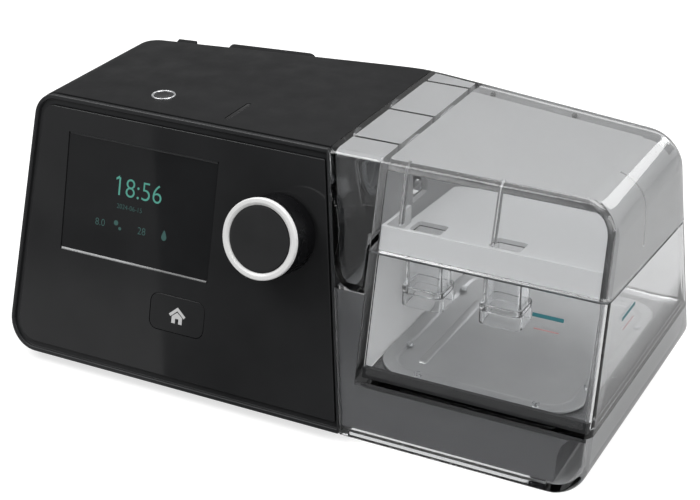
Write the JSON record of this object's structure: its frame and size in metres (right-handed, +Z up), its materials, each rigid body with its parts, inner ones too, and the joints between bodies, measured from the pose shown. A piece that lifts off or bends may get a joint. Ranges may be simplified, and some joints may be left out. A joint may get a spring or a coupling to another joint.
{
  "type": "cpap machine",
  "caption": "Bedside breathing machine with a leaning front, a press-and-turn knob beside a colour screen, and a clear water chamber with a hinged lid that slides off at the side.",
  "frame": {"origin": "on the surface it stands on, under the middle of its width and depth", "axes": "+X towards the water chamber, -Y out of the leaning front, +Z up"},
  "size_m": [0.264, 0.1449, 0.1144],
  "materials": {
    "casing": "fine satin texture",
    "pan": "satin",
    "frame": "satin",
    "panel": "polished",
    "window": "polished",
    "display": "smooth",
    "board": "solder mask",
    "steel": "satin",
    "knob_body": "polished",
    "knob_disc": "polished",
    "pale_ring": "satin",
    "button": "satin",
    "lens": "polished",
    "seal": "matte",
    "foot": "matte",
    "mount_rubber": "matte",
    "platform": "satin",
    "heater": "ground",
    "heater_film": "smooth",
    "duct": "smooth",
    "outlet": "satin",
    "foam": "open-cell foam",
    "blower": "smooth",
    "impeller": "smooth",
    "winding": "enamelled wire",
    "socket": "satin",
    "filter": "pleated paper",
    "plunger": "smooth",
    "clear": "polished clear plastic",
    "tank_metal": "satin",
    "trim": "satin"
  },
  "bodies": {
    "main": {"main_casing": "casing", "base_pan": "pan", "front_frame": "frame", "front_panel": "panel", "display_window": "window", "display_module": "display", "control_board": "board", "encoder": "steel", "home_switch": "steel", "button_board": "board", "start_switch": "steel", "start_ring": "pale_ring", "sensor_strip": "lens", "dock_wall": "pan", "dock_seals": "seal", "heater_platform": "platform", "heater_plate": "heater", "heater_pad": "heater_film", "supply_duct": "duct", "return_duct": "duct", "air_outlet": "outlet", "intake_box": "duct", "silencer_foam": "foam", "blower_housing": "blower", "blower_cover": "blower", "blower_mounts": "mount_rubber", "motor_stator": "winding", "main_board": "board", "power_inlet": "socket", "card_reader": "steel", "air_filter": "filter", "feet": "foot", "base_screws": "steel", "card_door_pin": "steel"},
    "knob_plunger": {"knob_plunger": "plunger"},
    "knob": {"knob_shaft": "steel", "knob_cap": "knob_body", "knob_face": "knob_disc", "knob_ring": "pale_ring"},
    "home_button": {"home_button": "button"},
    "start_button": {"start_button": "button"},
    "rotor": {"impeller": "impeller", "motor_rotor": "steel"},
    "filter_cover": {"filter_cover": "button"},
    "card_door": {"card_door": "casing"},
    "tank": {"tank_shell": "clear", "tank_plate": "tank_metal", "plate_seal": "seal", "plate_stakes": "steel", "base_frame": "trim", "hinge_pins": "steel"},
    "lid": {"lid_shell": "clear", "lid_baffle": "clear", "lid_seal": "seal"}
  },
  "joints": [
    {"name": "knob_press", "type": "slide", "parent": "main", "child": "knob_plunger", "axis": [0, 0.9673, -0.2538], "range_m": [0, 0.001], "stiffness_N_per_m": 2000, "springref_m": -0.0005},
    {"name": "knob_spin", "type": "hinge", "parent": "knob_plunger", "child": "knob", "pos_m": [-0.0047, -0.05026, 0.07832], "axis": [0, -0.9673, 0.2538], "continuous": true},
    {"name": "home_press", "type": "slide", "parent": "main", "child": "home_button", "axis": [0, 0.9673, -0.2538], "range_m": [0, 0.0008], "stiffness_N_per_m": 1000, "springref_m": -0.0005},
    {"name": "start_press", "type": "slide", "parent": "main", "child": "start_button", "axis": [0, 0, -1], "range_m": [0, 0.0008], "stiffness_N_per_m": 1000, "springref_m": -0.0005},
    {"name": "impeller_spin", "type": "hinge", "parent": "main", "child": "rotor", "pos_m": [-0.058, 0.006, 0.03], "axis": [0, 0, 1], "continuous": true},
    {"name": "filter_cover_pull", "type": "slide", "parent": "main", "child": "filter_cover", "axis": [-0.1263, 0.9724, 0.1959], "range_m": [0, 0.03]},
    {"name": "card_door_swing", "type": "hinge", "parent": "main", "child": "card_door", "pos_m": [-0.10358, 0.04031, 0.10916], "axis": [0.9917, 0.1288, 0], "range_deg": [0, 95]},
    {"name": "tank_slide", "type": "slide", "parent": "main", "child": "tank", "axis": [1, 0, 0], "range_m": [0, 0.11]},
    {"name": "lid_hinge", "type": "hinge", "parent": "tank", "child": "lid", "pos_m": [0.083, 0.05583, 0.07184], "axis": [-0.991, 0.1335, 0], "range_deg": [0, 75]}
  ]
}
